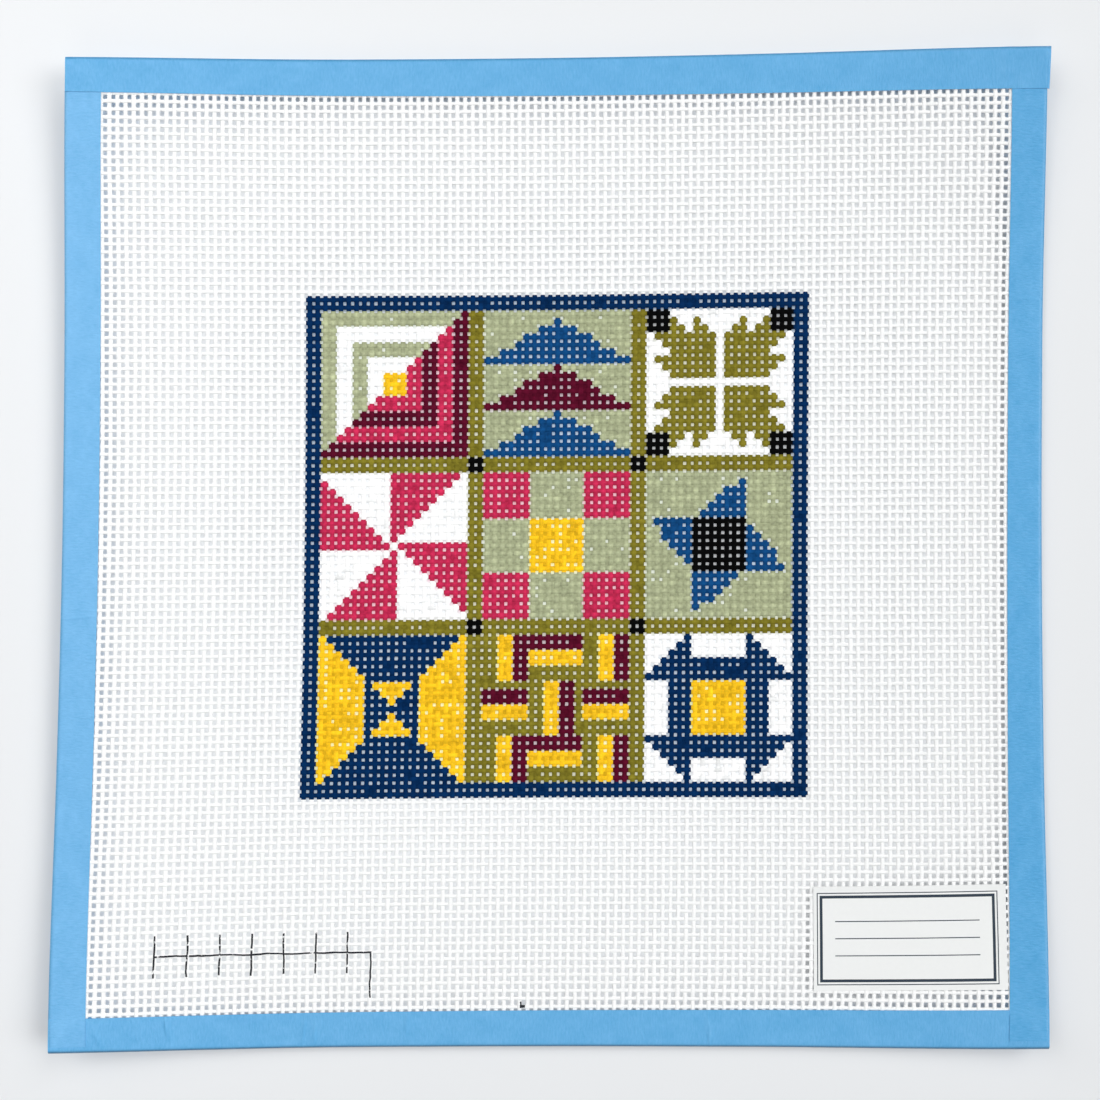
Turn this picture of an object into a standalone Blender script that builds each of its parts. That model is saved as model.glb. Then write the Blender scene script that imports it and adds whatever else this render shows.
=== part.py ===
"""Needlepoint canvas with its cut edges bound in folded tape, lying face up on a table.

The sheet rests on its flat middle. Its edges and corners curl up a little, each by its own amount.
Every piece is laid out on the flat sheet first, in u to the right and v upwards from the middle
thread crossing, and then placed by on_sheet(). Lengths are in metres and +Z is up.
"""
import math

import bmesh
import bpy

# The woven sheet, with 13 threads to the inch that cross over and under each other
CANVAS_THICK = 0.0011

# Half the bound sheet's size, from the middle thread crossing to the folds of the tape
HALF_WIDTH = 0.1223
HALF_HEIGHT = 0.1235

# How far each edge and corner is lifted off the table, and how far in the curl starts
CURL_REACH = 0.075
EDGE_RISE = {"left": 0.0050, "right": 0.0012, "top": 0.0040, "bottom": 0.0020}
CORNER_RISE = {
    ("left", "top"): 0.0003,
    ("right", "top"): 0.0022,
    ("left", "bottom"): 0.0018,
    ("right", "bottom"): 0.0032,
}

# How the weave is pulled out of square: lean of the upright threads, and small draws at the edges.
# A spread has its value at the middle of an edge, and what its square and fourth power add.
SKEW = 0.0147
SPREAD_WIDE = (-0.0002, 0.0029, -0.0029)
SPREAD_HIGH = (-0.0003, 0.0022, -0.0024)
UPRIGHT_BOW = -0.0005
STRETCH_LEFT = -0.0008
STRETCH_BOTTOM = 0.0004

# Edges of the binding on the flat sheet: the value at each line's start, middle and end,
# from the left or from the bottom
TAPE_LINES = {
    "top": {"outer": (0.12285, 0.12335, 0.1237), "inner": (0.11455, 0.1142, 0.1138)},
    "bottom": {"outer": (-0.1232, -0.12415, -0.12365), "inner": (-0.11505, -0.1153, -0.11445)},
    "left": {"outer": (-0.1218, -0.1225, -0.1217), "inner": (-0.11335, -0.11405, -0.11325)},
    "right": {"outer": (0.1225, 0.12235, 0.12215), "inner": (0.1130, 0.1138, 0.11355)},
}
INWARD = {"top": -1, "bottom": 1, "left": 1, "right": -1}

# The binding: tape folded over the edge, its back flap, and where the strips end
TAPE_WALL = 0.0004
BACK_FLAP = 0.0083
TOP_LEFT_END = -0.1216
TOP_TAB_END = 0.1230
TAB_START = 0.1208
SIDE_LOW_END = -0.1216
FOLD_STRIP = 0.0013
GAP = 0.0003

# The paper sticker on the face, turned a little against the threads
STICKER_WIDTH = 0.0475
STICKER_HEIGHT = 0.0255
STICKER_THICK = 0.0004
STICKER_CENTRE = (0.0887, -0.0971)
STICKER_TURN = math.radians(0.75)

# Levels above the sheet's underside
MIDDLE = CANVAS_THICK / 2
POCKET_HALF = MIDDLE + GAP
FOLD_DEPTH = POCKET_HALF + TAPE_WALL

# Fineness of the meshes
CURL_STEPS = 7
FLAT_STEPS = 4
FOLD_STEPS = 4
STRIP_STEP = 0.012
STICKER_STEPS = (6, 3)


def ramp(distance):
    """1 at an edge, falling to 0 where the curl starts."""
    return max(0.0, 1 - distance / CURL_REACH) ** 2


def curl(u, v):
    """Height of the sheet's underside above the table."""
    near = {
        "left": ramp(u + HALF_WIDTH),
        "right": ramp(HALF_WIDTH - u),
        "bottom": ramp(v + HALF_HEIGHT),
        "top": ramp(HALF_HEIGHT - v),
    }
    edges = sum(rise * near[side] for side, rise in EDGE_RISE.items())
    corners = sum(rise * near[a] * near[b] for (a, b), rise in CORNER_RISE.items())
    return edges + corners


def even_curve(values, t):
    """Curve that is the same on both sides of the middle, with t from -1 to 1."""
    middle, square, fourth = values
    return middle + square * t**2 + fourth * t**4


def plan(u, v):
    """Place on the table of a point of the flat sheet."""
    across = u / HALF_WIDTH
    up = v / HALF_HEIGHT
    x = u + SKEW * v + across * even_curve(SPREAD_WIDE, up)
    x += UPRIGHT_BOW * up**2 + STRETCH_LEFT * across**2
    y = v + up * even_curve(SPREAD_HIGH, across) + STRETCH_BOTTOM * up**2
    return x, y


def on_sheet(u, v, level):
    """Point at a level above the curled sheet's underside, square to the sheet there."""
    step = 0.0005
    slope_u = (curl(u + step, v) - curl(u - step, v)) / (2 * step)
    slope_v = (curl(u, v + step) - curl(u, v - step)) / (2 * step)
    tilt = math.sqrt(1 + slope_u**2 + slope_v**2)
    x, y = plan(u, v)
    return x - slope_u * level / tilt, y - slope_v * level / tilt, curl(u, v) + level / tilt


def line_at(values, t):
    """Gentle curve through a start, middle and end value, with t from -1 to 1."""
    start, middle, end = values
    return middle + t * (end - start) / 2 + t**2 * ((start + end) / 2 - middle)


def tape_line(side, line, along):
    """Flat place of a binding strip's outer or inner edge."""
    half = HALF_WIDTH if side in ("top", "bottom") else HALF_HEIGHT
    return line_at(TAPE_LINES[side][line], along / half)


def canvas_line(side, along):
    """Flat place of the canvas's cut edge, inside the fold of its binding."""
    return tape_line(side, "outer", along) + INWARD[side] * FOLD_DEPTH


def flat_share(half):
    """Share of the sheet's half width or height that lies flat."""
    return (half - CURL_REACH) / half


def spread(share, low, high, half):
    """Place between two cut edges for a share from -1 to 1. Lines near the middle stay straight."""
    flat = flat_share(half)
    reach = max(0.0, (abs(share) - flat) / (1 - flat))
    edge = high - half if share > 0 else low + half
    return share * half + reach * edge


def grid_shares(half):
    """Grid lines of the sheet: close together where it curls, few where it is flat."""
    flat = flat_share(half)
    curled = [flat + (1 - flat) * k / CURL_STEPS for k in range(1, CURL_STEPS + 1)]
    level = [flat * (2 * k / FLAT_STEPS - 1) for k in range(FLAT_STEPS + 1)]
    return [-share for share in reversed(curled)] + level + curled


def material(name, colour, roughness):
    """A plain surface of one colour."""
    made = bpy.data.materials.new(name)
    made.use_nodes = True
    shader = made.node_tree.nodes["Principled BSDF"]
    shader.inputs["Base Color"].default_value = (*colour, 1.0)
    shader.inputs["Roughness"].default_value = roughness
    shader.inputs["Metallic"].default_value = 0.0
    return made


def finish(name, bm, surface):
    """Turn a bmesh into a named object with its faces pointing out."""
    bmesh.ops.recalc_face_normals(bm, faces=bm.faces)
    mesh = bpy.data.meshes.new(name)
    bm.to_mesh(mesh)
    bm.free()
    mesh.shade_smooth()
    mesh.set_sharp_from_angle(angle=math.radians(40))
    mesh.materials.append(surface)
    made = bpy.data.objects.new(name, mesh)
    bpy.context.collection.objects.link(made)
    return made


def slab(name, columns, rows, place, levels, surface, flat=None):
    """Closed sheet over a grid. flat gives the first and last line that one plain face spans."""
    bm = bmesh.new()
    corners = {}

    def corner(side, i, j):
        if (side, i, j) not in corners:
            corners[side, i, j] = bm.verts.new(place(columns[i], rows[j], levels[side]))
        return corners[side, i, j]

    def in_flat(i, j):
        return flat is not None and flat[0] <= i < flat[1] and flat[0] <= j < flat[1]

    last_i = len(columns) - 1
    last_j = len(rows) - 1
    for side in (0, 1):
        for i in range(last_i):
            for j in range(last_j):
                if not in_flat(i, j):
                    around = ((i, j), (i + 1, j), (i + 1, j + 1), (i, j + 1))
                    bm.faces.new([corner(side, *place_ij) for place_ij in around])
        if flat is not None:
            bm.faces.new([corner(side, *place_ij) for place_ij in loop_around(*flat, *flat)])
    rim = loop_around(0, last_i, 0, last_j)
    for here, there in zip(rim, rim[1:] + rim[:1]):
        bm.faces.new([corner(0, *here), corner(0, *there), corner(1, *there), corner(1, *here)])
    return finish(name, bm, surface)


def loop_around(low_i, high_i, low_j, high_j):
    """Grid places in order round the rim of a block."""
    bottom = [(i, low_j) for i in range(low_i, high_i)]
    right = [(high_i, j) for j in range(low_j, high_j)]
    top = [(i, high_j) for i in range(high_i, low_i, -1)]
    left = [(low_i, j) for j in range(high_j, low_j, -1)]
    return bottom + right + top + left


def fold_section(front, back, pocket_half):
    """Outer and inner outline of folded tape, as depth from the fold and level, front to back."""
    outlines = []
    for half in (pocket_half + TAPE_WALL, pocket_half):
        outline = [(front, MIDDLE + half)]
        for k in range(FOLD_STEPS + 1):
            angle = math.pi / 2 + math.pi * k / FOLD_STEPS
            outline.append((FOLD_DEPTH + half * math.cos(angle), MIDDLE + half * math.sin(angle)))
        outline.append((back, MIDDLE - half))
        outlines.append(outline)
    return outlines


def tape_point(side, along, depth, level):
    """Point of a binding strip, by its place along the edge, depth from the fold and level."""
    across = tape_line(side, "outer", along) + INWARD[side] * depth
    if side in ("top", "bottom"):
        return on_sheet(along, across, level)
    return on_sheet(across, along, level)


def front_flap(side, along):
    """Width of the strip's front flap."""
    return abs(tape_line(side, "inner", along) - tape_line(side, "outer", along))


def even_stations(low, high):
    """Places along a strip, about STRIP_STEP apart."""
    count = max(1, round((high - low) / STRIP_STEP))
    return [low + (high - low) * k / count for k in range(count + 1)]


def folded_strip(name, side, stations, surface):
    """Closed U-shaped strip. Each station is (along, front flap, back flap, half the pocket)."""
    bm = bmesh.new()
    rings = []
    for along, front, back, pocket_half in stations:
        outlines = fold_section(front, back, pocket_half)
        rings.append(
            [[bm.verts.new(tape_point(side, along, *point)) for point in line] for line in outlines]
        )
    points = len(rings[0][0])
    for here, there in zip(rings, rings[1:]):
        for line in (0, 1):
            for k in range(points - 1):
                bm.faces.new([here[line][k], here[line][k + 1], there[line][k + 1], there[line][k]])
        for k in (0, points - 1):
            bm.faces.new([here[0][k], here[1][k], there[1][k], there[0][k]])
    for outer, inner in (rings[0], rings[-1]):
        for k in range(points - 1):
            bm.faces.new([outer[k], outer[k + 1], inner[k + 1], inner[k]])
    return finish(name, bm, surface)


def canvas(surface):
    """The woven sheet out to its cut edges, flat underneath in the middle."""

    def place(share_u, share_v, level):
        u = share_u * HALF_WIDTH
        v = share_v * HALF_HEIGHT
        u_edge = spread(share_u, canvas_line("left", v), canvas_line("right", v), HALF_WIDTH)
        v_edge = spread(share_v, canvas_line("bottom", u), canvas_line("top", u), HALF_HEIGHT)
        return on_sheet(u_edge, v_edge, level)

    columns = grid_shares(HALF_WIDTH)
    rows = grid_shares(HALF_HEIGHT)
    flat = (CURL_STEPS, CURL_STEPS + FLAT_STEPS)
    return slab("canvas", columns, rows, place, (0.0, CANVAS_THICK), surface, flat)


def top_tape(surface):
    """Laid last, over both side strips. Its right end sticks out past them, pinched together."""
    stations = [
        (along, front_flap("top", along), BACK_FLAP, POCKET_HALF)
        for along in even_stations(TOP_LEFT_END, TAB_START)
    ]
    pinched = POCKET_HALF - 2 * GAP
    stations.append((TOP_TAB_END, front_flap("top", TOP_TAB_END), BACK_FLAP, pinched))
    return folded_strip("tape_top", "top", stations, surface)


def side_tape(side, surface):
    """Runs from under the top strip to just short of the bottom edge."""
    corner_u = tape_line(side, "inner", HALF_HEIGHT)
    high = tape_line("top", "inner", corner_u) - GAP
    stations = [
        (along, front_flap(side, along), BACK_FLAP, POCKET_HALF)
        for along in even_stations(SIDE_LOW_END, high)
    ]
    return folded_strip(f"tape_{side}", side, stations, surface)


def bottom_tape(surface):
    """Laid first. Under the side strips only its fold shows, as a narrow strip at the edge."""
    left_seam = tape_line("left", "inner", -HALF_HEIGHT) + GAP
    right_seam = tape_line("right", "inner", -HALF_HEIGHT) - GAP
    left_end = tape_line("left", "outer", -HALF_HEIGHT)
    right_end = tape_line("right", "outer", -HALF_HEIGHT)
    stations = [
        (along, FOLD_STRIP, FOLD_STRIP, POCKET_HALF) for along in (left_end, left_seam - GAP)
    ]
    stations += [
        (along, front_flap("bottom", along), BACK_FLAP, POCKET_HALF)
        for along in even_stations(left_seam, right_seam)
    ]
    stations += [
        (along, FOLD_STRIP, FOLD_STRIP, POCKET_HALF) for along in (right_seam + GAP, right_end)
    ]
    return folded_strip("tape_bottom", "bottom", stations, surface)


def sticker(surface):
    """Small paper rectangle in the lower right corner of the face."""

    def place(across, up, level):
        cos, sin = math.cos(STICKER_TURN), math.sin(STICKER_TURN)
        u = STICKER_CENTRE[0] + across * cos - up * sin
        v = STICKER_CENTRE[1] + across * sin + up * cos
        return on_sheet(u, v, level)

    wide, high = STICKER_STEPS
    columns = [STICKER_WIDTH * (k / wide - 0.5) for k in range(wide + 1)]
    rows = [STICKER_HEIGHT * (k / high - 0.5) for k in range(high + 1)]
    low = CANVAS_THICK + GAP
    return slab("sticker", columns, rows, place, (low, low + STICKER_THICK), surface)


def centre_on_origin(pieces):
    """Shift the pieces so that the middle of their plan is at the origin."""
    points = [vertex.co for piece in pieces for vertex in piece.data.vertices]
    middle_x = (min(p.x for p in points) + max(p.x for p in points)) / 2
    middle_y = (min(p.y for p in points) + max(p.y for p in points)) / 2
    for piece in pieces:
        for vertex in piece.data.vertices:
            vertex.co.x -= middle_x
            vertex.co.y -= middle_y


def main():
    for old in list(bpy.data.objects):
        bpy.data.objects.remove(old, do_unlink=True)
    thread = material("canvas_thread", (0.90, 0.90, 0.88), 0.75)
    tape = material("binding_tape", (0.16, 0.45, 0.78), 0.60)
    paper = material("sticker_paper", (0.88, 0.88, 0.86), 0.50)
    pieces = [
        canvas(thread),
        top_tape(tape),
        side_tape("left", tape),
        side_tape("right", tape),
        bottom_tape(tape),
        sticker(paper),
    ]
    centre_on_origin(pieces)


main()
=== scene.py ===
import math

import bpy
import numpy as np
from mathutils import Matrix, Vector


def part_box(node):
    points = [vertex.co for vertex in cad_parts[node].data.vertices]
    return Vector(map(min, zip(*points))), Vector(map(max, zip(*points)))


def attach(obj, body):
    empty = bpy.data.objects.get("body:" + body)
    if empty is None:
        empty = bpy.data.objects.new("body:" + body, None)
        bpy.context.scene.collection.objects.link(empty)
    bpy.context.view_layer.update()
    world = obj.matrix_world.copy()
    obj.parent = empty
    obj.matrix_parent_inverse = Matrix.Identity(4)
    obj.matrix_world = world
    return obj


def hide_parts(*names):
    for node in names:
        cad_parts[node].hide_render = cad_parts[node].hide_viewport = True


# Visual model of a hand-painted needlepoint canvas. Its threads are woven over and under each other,
# its cut edges are bound in folded crepe tape, and a paper sticker lies on its face.
# Each piece is laid out on the flat sheet, in u to the right and v upwards from the middle thread
# crossing, and on_sheet() then places it on the curled sheet. Lengths are in metres.

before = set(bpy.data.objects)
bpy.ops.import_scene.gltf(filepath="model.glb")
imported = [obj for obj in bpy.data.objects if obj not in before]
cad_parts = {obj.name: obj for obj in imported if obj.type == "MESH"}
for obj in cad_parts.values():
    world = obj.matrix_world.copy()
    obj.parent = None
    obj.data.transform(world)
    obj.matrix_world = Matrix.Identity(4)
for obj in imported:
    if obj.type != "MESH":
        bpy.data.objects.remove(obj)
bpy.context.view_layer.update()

# The sheet as a whole, with the same sizes as in the frame
CANVAS_THICK = 0.0011
MIDDLE = CANVAS_THICK / 2
HALF_WIDTH = 0.1223
HALF_HEIGHT = 0.1235
CURL_REACH = 0.075
EDGE_RISE = {"left": 0.0050, "right": 0.0012, "top": 0.0040, "bottom": 0.0020}
CORNER_RISE = {
    ("left", "top"): 0.0003,
    ("right", "top"): 0.0022,
    ("left", "bottom"): 0.0018,
    ("right", "bottom"): 0.0032,
}

# How the sheet lies in plan: its skew, how its width and height change towards its ends, and its bow
SKEW = 0.0147
SPREAD_WIDE = (-0.0002, 0.0029, -0.0029)
SPREAD_HIGH = (-0.0003, 0.0022, -0.0024)
UPRIGHT_BOW = -0.0005
STRETCH_LEFT = -0.0008
STRETCH_BOTTOM = 0.0004

# Edges of the binding on the flat sheet: start, middle and end, from the left or from the bottom
TAPE_LINES = {
    "top": {"outer": (0.12285, 0.12335, 0.1237), "inner": (0.11455, 0.1142, 0.1138)},
    "bottom": {"outer": (-0.1232, -0.12415, -0.12365), "inner": (-0.11505, -0.1153, -0.11445)},
    "left": {"outer": (-0.1218, -0.1225, -0.1217), "inner": (-0.11335, -0.11405, -0.11325)},
    "right": {"outer": (0.1225, 0.12235, 0.12215), "inner": (0.1130, 0.1138, 0.11355)},
}
INWARD = {"top": -1, "bottom": 1, "left": 1, "right": -1}
CUT_EDGE_DEPTH = 0.00125
BACK_FLAP = 0.0083
TOP_LEFT_END = -0.1216
TOP_TAB_END = 0.1230
SIDE_LOW_END = -0.1216
SIDE_TOP_END = 0.1212
TAPE_SPREAD = 0.018

STICKER_WIDTH = 0.0475
STICKER_HEIGHT = 0.0255
STICKER_CENTRE = (0.0887, -0.0971)
STICKER_TURN = math.radians(0.75)
STICKER_GAP = 0.0003

# The weave: threads to each side of the middle one, and the size of a thread
PITCH = 0.0254 / 13
UPRIGHT = 61
CROSSWISE = 62
BANDS = 4
UPRIGHT_HALF_WIDE = 0.00055
CROSSWISE_HALF_WIDE = 0.00047
SPAN_HALF_THICK = 0.00021
CROSSING_HALF_THICK = 0.00017
CRIMP = 0.00009
SHEET_HALF = CRIMP + CROSSING_HALF_THICK
CROSSING_FILL = 0.00010
UPRIGHT_SPAN_FILL = 0.00006
CROSSWISE_SPAN_FILL = 0.00011
UNDER_WIDE = 1.06
OVER_WIDE = 1.1
SPAN_WIDE = 0.95

# How uneven the threads are: metres off their line, then shares of crimp, width, thickness and paint
WANDER = 0.00003
WOBBLE = 0.000012
UNEVEN_CRIMP = 0.06
UNEVEN_WIDE = 0.035
UNEVEN_RING = 0.02
UNEVEN_THICK = 0.03
UNEVEN_SHADE = 0.07
UNEVEN_SOAK = 0.3

# Cross-section of a flattened thread, as shares of its half width and half thickness, and the share of
# the paint that each of these corners gets from above
PROFILE = ((-0.7, -1), (0.7, -1), (1, 0), (0.7, 1), (-0.7, 1), (-1, 0))
COVER = (0.18, 0.18, 0.85, 1.0, 1.0, 0.85)
SIDES = len(PROFILE)
LOWER_CORNERS = 2
UPPER_SOAK = 0.3

# The thin tape and paper of the real thing
TAPE_THICK = 0.00013
TAPE_CLEAR = 0.00005
LAP = 0.00015
PAPER_THICK = 0.00012


def ramp(distance):
    """1 at an edge, falling to 0 where the curl starts."""
    return np.maximum(0.0, 1 - distance / CURL_REACH) ** 2


def curl(u, v):
    """Height of the sheet's underside above the table."""
    near = {
        "left": ramp(u + HALF_WIDTH),
        "right": ramp(HALF_WIDTH - u),
        "bottom": ramp(v + HALF_HEIGHT),
        "top": ramp(HALF_HEIGHT - v),
    }
    edges = sum(rise * near[side] for side, rise in EDGE_RISE.items())
    corners = sum(rise * near[a] * near[b] for (a, b), rise in CORNER_RISE.items())
    return edges + corners


def even_curve(values, t):
    """Curve that is the same on both sides of the middle, with t from -1 to 1."""
    middle, square, fourth = values
    return middle + square * t**2 + fourth * t**4


def plan(u, v):
    """Place on the table of points of the flat sheet."""
    across = u / HALF_WIDTH
    up = v / HALF_HEIGHT
    x = u + SKEW * v + across * even_curve(SPREAD_WIDE, up)
    x = x + UPRIGHT_BOW * up**2 + STRETCH_LEFT * across**2
    y = v + up * even_curve(SPREAD_HIGH, across) + STRETCH_BOTTOM * up**2
    return x, y


def on_sheet(u, v, level):
    """Points at a level above the curled sheet's underside, square to the sheet there."""
    step = 0.0005
    slope_u = (curl(u + step, v) - curl(u - step, v)) / (2 * step)
    slope_v = (curl(u, v + step) - curl(u, v - step)) / (2 * step)
    tilt = np.sqrt(1 + slope_u**2 + slope_v**2)
    x, y = plan(u, v)
    return np.stack([x - slope_u * level / tilt, y - slope_v * level / tilt, curl(u, v) + level / tilt], -1)


def sticker_point(across, up):
    """Flat place of a point of the sticker, measured from the sticker's middle."""
    cos, sin = math.cos(STICKER_TURN), math.sin(STICKER_TURN)
    return STICKER_CENTRE[0] + across * cos - up * sin, STICKER_CENTRE[1] + across * sin + up * cos


def frame_shift():
    """How far the frame's own centring moved everything, read from the sticker's lowest corner."""
    across = STICKER_WIDTH / 2 * np.array([-1, 1, 1, -1])
    up = STICKER_HEIGHT / 2 * np.array([-1, -1, 1, 1])
    low = on_sheet(*sticker_point(across, up), CANVAS_THICK + STICKER_GAP)
    box_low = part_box("sticker")[0]
    return np.array([box_low.x - low[:, 0].min(), box_low.y - low[:, 1].min(), 0.0])


SHIFT = frame_shift()


def placed(u, v, level):
    """Points of the flat sheet in the frame."""
    return on_sheet(u, v, level) + SHIFT


def line_at(values, t):
    """Gentle curve through a start, middle and end value, with t from -1 to 1."""
    start, middle, end = values
    return middle + t * (end - start) / 2 + t**2 * ((start + end) / 2 - middle)


def tape_line(side, line, along):
    """Flat place of a binding strip's outer or inner edge."""
    half = HALF_WIDTH if side in ("top", "bottom") else HALF_HEIGHT
    return line_at(TAPE_LINES[side][line], along / half)


def cut_edge(side, along):
    """Flat place of the canvas's cut edge, inside the fold of its binding."""
    return tape_line(side, "outer", along) + INWARD[side] * CUT_EDGE_DEPTH


def smooth_step(value, low, high):
    """0 below low, 1 above high, and an even bend between."""
    t = np.clip((value - low) / (high - low), 0, 1)
    return t * t * (3 - 2 * t)


def drift(rng, rows, length, step):
    """Smooth random values about 0, one row for each thread, with a new value every few steps."""
    knots = rng.normal(size=(rows, length // step + 3))
    at = np.arange(length) / step
    low = at.astype(int)
    part = at - low
    part = part * part * (3 - 2 * part)
    return knots[:, low] * (1 - part) + knots[:, low + 1] * part


# The painted square: a sampler of traditional patchwork blocks
BARE, NAVY, BLUE, BLACK, YELLOW, SAGE, OLIVE, ROSE, PLUM, WHITE = range(10)
PAINTS = {
    BARE: (250, 250, 249),
    NAVY: (6, 48, 96),
    BLUE: (20, 80, 139),
    BLACK: (8, 8, 9),
    YELLOW: (253, 200, 36),
    SAGE: (190, 197, 158),
    OLIVE: (139, 130, 43),
    ROSE: (214, 50, 92),
    PLUM: (98, 16, 44),
    WHITE: (252, 253, 253),
}
SQUARE_REACH = 32
BORDER_START = 31
FIRST_BLOCK = -30
BLOCK_REACH = 9
BLOCK_STEP = 21
THIRD_REACH = 3


def pick(test, yes, no):
    return np.where(test, yes, no)


def third(x):
    """-1, 0 or 1 for the left, middle or right third of a block."""
    return np.sign(x) * (np.abs(x) > THIRD_REACH)


def turned_up(x, y):
    """Block places turned by quarter turns until their side of the block is at the top."""
    top = (y > 0) & (x >= 0) | (x == 0) & (y == 0)
    left = (x < 0) & (y >= 0)
    low = (y < 0) & (x <= 0)
    across = np.select([top, left, low], [x, y, -x], -y)
    up = np.select([top, left, low], [y, -x, -y], x)
    return across, up


def nine_patch(x, y):
    chequer = pick((third(x) + third(y)) % 2 == 0, ROSE, SAGE)
    middle = (third(x) == 0) & (third(y) == 0)
    return pick(middle, YELLOW, chequer)


def churn_dash(x, y):
    far = np.maximum(np.abs(x), np.abs(y))
    corner = (third(x) != 0) & (third(y) != 0)
    corners = pick(np.abs(x) + np.abs(y) > 13, WHITE, NAVY)
    bars = pick(far > 6, WHITE, NAVY)
    middle = (third(x) == 0) & (third(y) == 0)
    return pick(middle, YELLOW, pick(corner, corners, bars))


def friendship_star(x, y):
    side = (third(x) == 0) != (third(y) == 0)
    tall = np.abs(y) > np.abs(x)
    across = pick(tall, x * np.sign(y), -y * np.sign(x))
    out = np.maximum(np.abs(x), np.abs(y)) - 4
    point = side & (6 * (across + 3) >= 7 * out + 3)
    middle = (third(x) == 0) & (third(y) == 0)
    return pick(middle, BLACK, pick(point, BLUE, SAGE))


def pinwheel(x, y):
    across, up = turned_up(x, y)
    return pick(up > across, ROSE, WHITE)


def rail_fence(x, y):
    upright = (third(x) + third(y)) % 2 == 0
    along = pick(upright, x, y) + BLOCK_REACH
    rail = pick(along < 6, along // 2, pick(along < 13, (along - 6) // 2 % 3, (along - 13) // 2))
    return np.select([rail == 0, rail == 1], [OLIVE, YELLOW], PLUM)


def log_cabin(x, y):
    ring = np.maximum(np.abs(x), np.abs(y)) // 2
    light = pick(ring % 2 == 0, SAGE, WHITE)
    dark = pick(ring % 2 == 0, PLUM, ROSE)
    return pick(ring == 0, YELLOW, pick(y > x, light, dark))


def bears_paw(x, y):
    across, up = np.abs(x) - 1, np.abs(y) - 1
    claws = (across >= 6) | (up >= 6)
    slant = pick(across >= 6, across % 3 >= up % 3, up % 3 >= across % 3)
    tip = (across >= 6) & (up >= 6)
    paw = pick(tip, BLACK, pick(claws, pick(slant, WHITE, OLIVE), OLIVE))
    return pick((across < 0) | (up < 0), WHITE, paw)


def hourglass(x, y):
    tall = pick(np.abs(y) > np.abs(x), NAVY, YELLOW)
    inner = np.maximum(np.abs(x), np.abs(y)) < 4
    return pick(inner, pick(tall == NAVY, YELLOW, NAVY), tall)


def flying_geese(x, y):
    row = (y + BLOCK_REACH) // 6
    height = (y + BLOCK_REACH) % 6
    goose = np.abs(x) <= BLOCK_REACH * (1 - height / 5.5)
    colour = np.select([row == 0, row == 1], [BLUE, PLUM], BLUE)
    return pick(goose & (row < 3), colour, SAGE)


BLOCKS = (
    (hourglass, rail_fence, churn_dash),
    (pinwheel, nine_patch, friendship_star),
    (log_cabin, flying_geese, bears_paw),
)


def painted(column, row):
    """Paint on the crossing of an upright and a crosswise thread, counted from the middle."""
    x = (column - FIRST_BLOCK) % BLOCK_STEP - BLOCK_REACH
    y = (row - FIRST_BLOCK) % BLOCK_STEP - BLOCK_REACH
    across = (column - FIRST_BLOCK) // BLOCK_STEP
    up = (row - FIRST_BLOCK) // BLOCK_STEP
    colour = np.full(np.broadcast(column, row).shape, OLIVE)
    for j, line in enumerate(BLOCKS):
        for i, block in enumerate(line):
            here = (across == i) & (up == j) & (x <= BLOCK_REACH) & (y <= BLOCK_REACH)
            colour = pick(here, block(x, y), colour)
    colour = pick((x > BLOCK_REACH) & (y > BLOCK_REACH), BLACK, colour)
    far = np.maximum(np.abs(column), np.abs(row))
    colour = pick(far >= BORDER_START, NAVY, colour)
    return pick(far > SQUARE_REACH, BARE, colour)


def linear(colour):
    """A screen colour from 0 to 255 as light."""
    part = np.array(colour, float) / 255
    return np.where(part <= 0.04045, part / 12.92, ((part + 0.055) / 1.055) ** 2.4)


PAINT_LIGHT = np.array([linear(PAINTS[k]) for k in sorted(PAINTS)])
# Painted shade: paint between crossings and the paint films in the openings are darkened by these tones
SPAN_SHADE_TONE = 0.7
FILM_SHADE_TONE = 0.72
WHITE_FILM_SHADE_TONE = 0.97
BARE_CAP = (0.9, 0.9, 0.9, 0.0)


# Threads


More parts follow.
